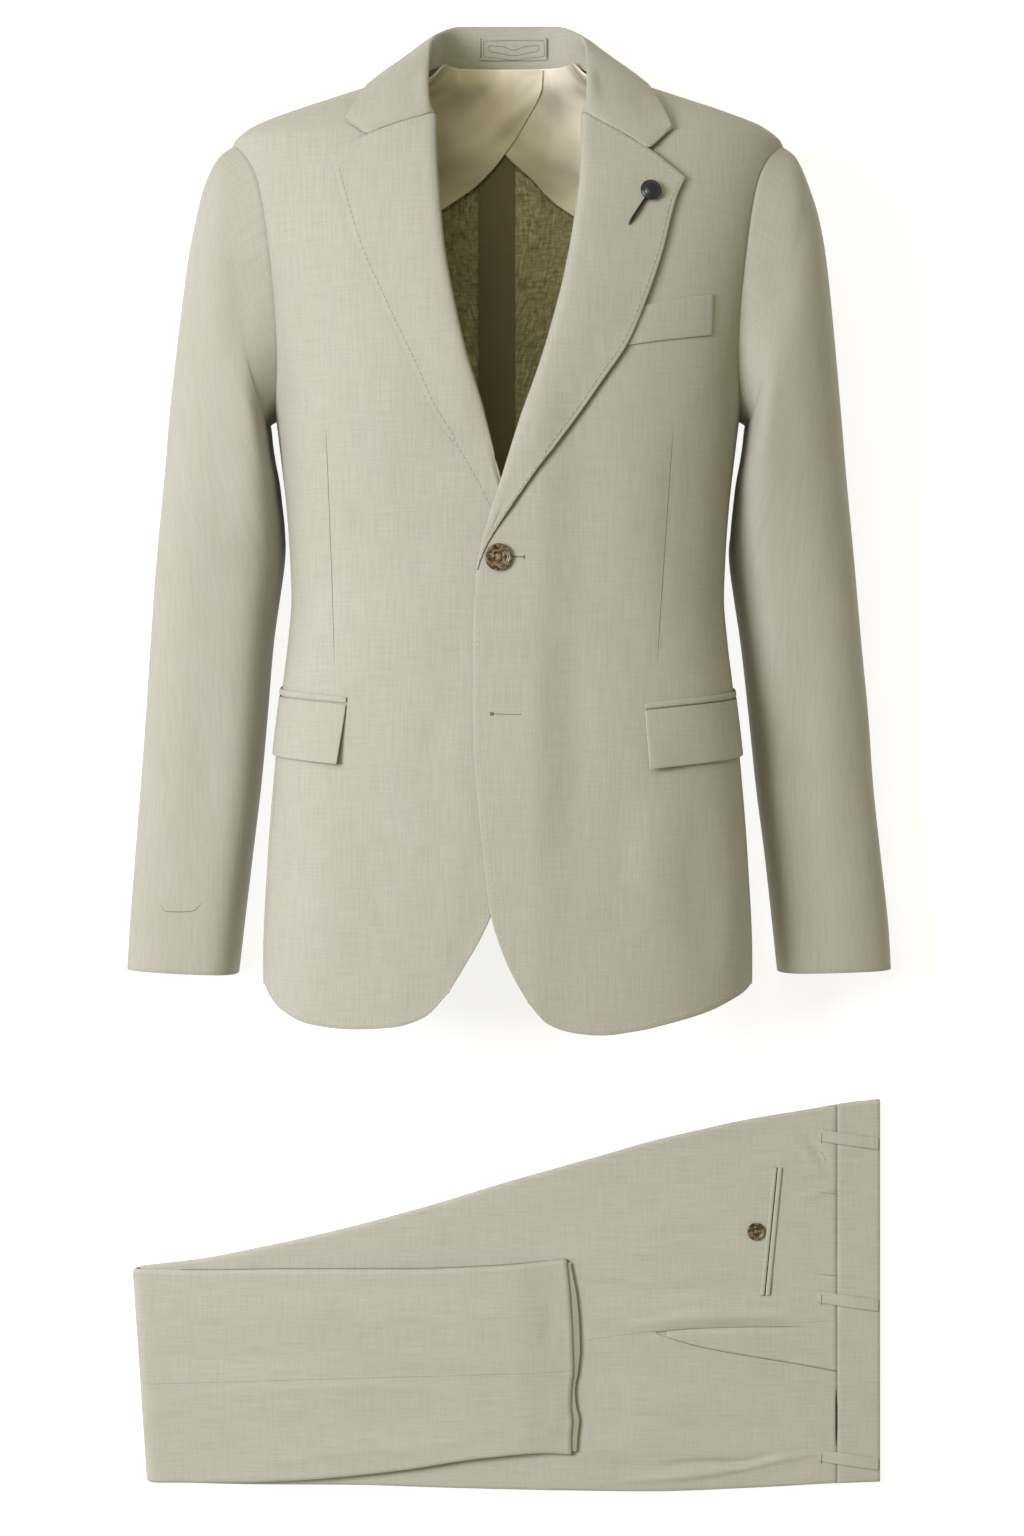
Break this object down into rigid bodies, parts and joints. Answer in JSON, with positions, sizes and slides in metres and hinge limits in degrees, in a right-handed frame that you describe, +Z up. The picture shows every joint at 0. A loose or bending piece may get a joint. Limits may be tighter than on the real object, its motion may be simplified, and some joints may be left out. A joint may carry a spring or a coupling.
{
  "type": "two-piece suit",
  "caption": "Two-piece linen suit laid out: a single-breasted jacket that keeps its worn, hollow form, and trousers folded flat below it.",
  "frame": {"origin": "centre of the footprint of the whole set, on the surface it lies on", "axes": "+Y from the folded trousers to the jacket's collar, +X to the wearer's left, +Z up from the surface, out of the jacket's front"},
  "size_m": [0.6332, 1.2296, 0.2239],
  "materials": {
    "linen": "matt plain-weave linen, light stone with a green cast",
    "lining": "smooth lining cloth with a low sheen",
    "binding": "smooth binding over the seam allowance",
    "horn": "satin mottled brown horn",
    "dark_enamel": "gloss dark enamel",
    "dark_metal": "dark lacquered metal"
  },
  "bodies": {
    "root": {"front_left": "linen", "front_right": "linen", "side_left": "linen", "side_right": "linen", "back_left": "linen", "back_right": "linen", "sleeve_top_left": "linen", "sleeve_top_right": "linen", "sleeve_under_left": "linen", "sleeve_under_right": "linen", "lapel_left": "linen", "lapel_right": "linen", "collar": "linen", "breast_welt": "linen", "flap_left": "linen", "flap_right": "linen", "jet_left": "linen", "jet_right": "linen", "back_seam_tape": "binding", "lining_left": "lining", "lining_right": "lining", "hanger_tab": "lining", "button_top": "horn", "button_low": "horn", "lapel_pin_head": "dark_enamel", "lapel_pin_stem": "dark_metal", "trouser_back": "linen", "trouser_front": "linen", "pocket_side": "linen", "shin_back": "linen", "shin_front": "linen", "thigh_layers": "linen", "shin_layers": "linen", "waistband": "linen", "belt_loop_1": "linen", "belt_loop_2": "linen", "belt_loop_3": "linen", "pocket_jet_in": "linen", "pocket_jet_out": "linen", "pocket_button": "horn"}
  },
  "joints": []
}
